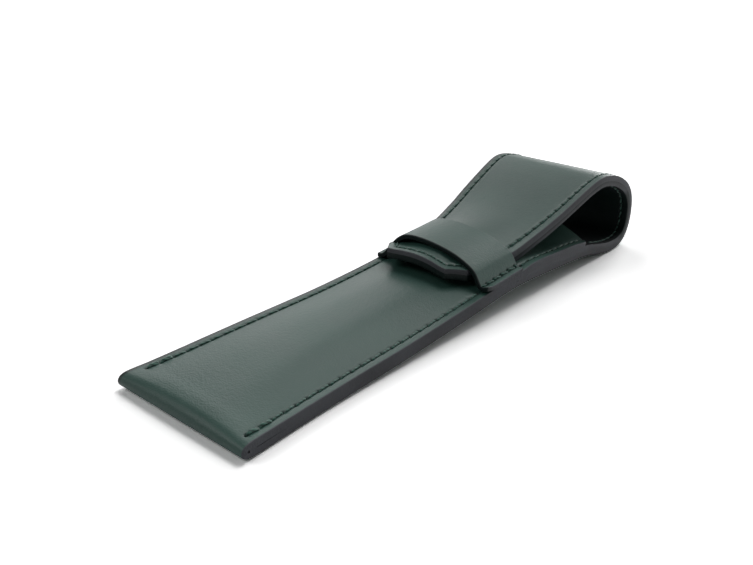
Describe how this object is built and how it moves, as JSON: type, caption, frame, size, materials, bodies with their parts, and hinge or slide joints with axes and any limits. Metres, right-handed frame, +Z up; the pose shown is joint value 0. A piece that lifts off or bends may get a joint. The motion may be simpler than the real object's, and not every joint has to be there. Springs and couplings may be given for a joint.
{
  "type": "pen case",
  "caption": "Slim stitched leather pen case: a flat pocket whose lined flap curls over in an open loop and tucks its tongue under a sewn-down keeper strap.",
  "frame": {"origin": "on the table under the middle of the case's length and width", "axes": "+X from the closed end to the loop, along the case's length; +Y across its width; +Z up out of the front panel"},
  "size_m": [0.1794, 0.04, 0.0281],
  "materials": {
    "green_leather": "smooth, semi-gloss, dark painted edges",
    "strap_leather": "smooth, semi-gloss, dark painted edges",
    "dark_lining": "matt",
    "green_thread": "matt"
  },
  "bodies": {
    "case": {"pocket_leather": "green_leather", "pocket_lining": "dark_lining", "keeper_strap": "strap_leather", "pocket_seam_near": "green_thread", "pocket_seam_far": "green_thread"},
    "loop_foot": {"loop_foot_leather": "green_leather", "loop_foot_lining": "dark_lining", "loop_foot_stitching_near": "green_thread", "loop_foot_stitching_far": "green_thread"},
    "loop_back": {"loop_back_leather": "green_leather", "loop_back_lining": "dark_lining", "loop_back_stitching_near": "green_thread", "loop_back_stitching_far": "green_thread"},
    "loop_top": {"loop_top_leather": "green_leather", "loop_top_lining": "dark_lining", "loop_top_stitching_near": "green_thread", "loop_top_stitching_far": "green_thread", "neck_leather": "green_leather", "neck_lining": "dark_lining", "neck_stitching_near": "green_thread", "neck_stitching_far": "green_thread"},
    "tongue": {"tongue_leather": "green_leather", "tongue_lining": "dark_lining", "tongue_stitching": "green_thread"}
  },
  "joints": [
    {"name": "loop_roll", "type": "slide", "parent": "case", "child": "loop_foot", "axis": [1, 0, 0], "range_m": [0, 0.013]},
    {"name": "flap_unroll", "type": "hinge", "parent": "loop_foot", "child": "loop_back", "pos_m": [0.08903, 0, 0.00615], "axis": [0, 1, 0], "range_deg": [0, 75], "deforming": ["tongue_leather", "tongue_lining", "tongue_stitching"]},
    {"name": "loop_top_unroll", "type": "hinge", "parent": "loop_back", "child": "loop_top", "pos_m": [0.06997, 0, 0.02761], "axis": [0, 1, 0], "range_deg": [0, 75]},
    {"name": "tongue_draw", "type": "slide", "parent": "loop_top", "child": "tongue", "axis": [1, 0, 0], "range_m": [0, 0.013], "deforming": ["neck_leather", "neck_lining", "neck_stitching_near", "neck_stitching_far"]}
  ],
  "couplings": [
    {"joint": "loop_roll", "follows": "tongue_draw", "ratio": 1},
    {"joint": "loop_top_unroll", "follows": "flap_unroll", "ratio": 1}
  ]
}
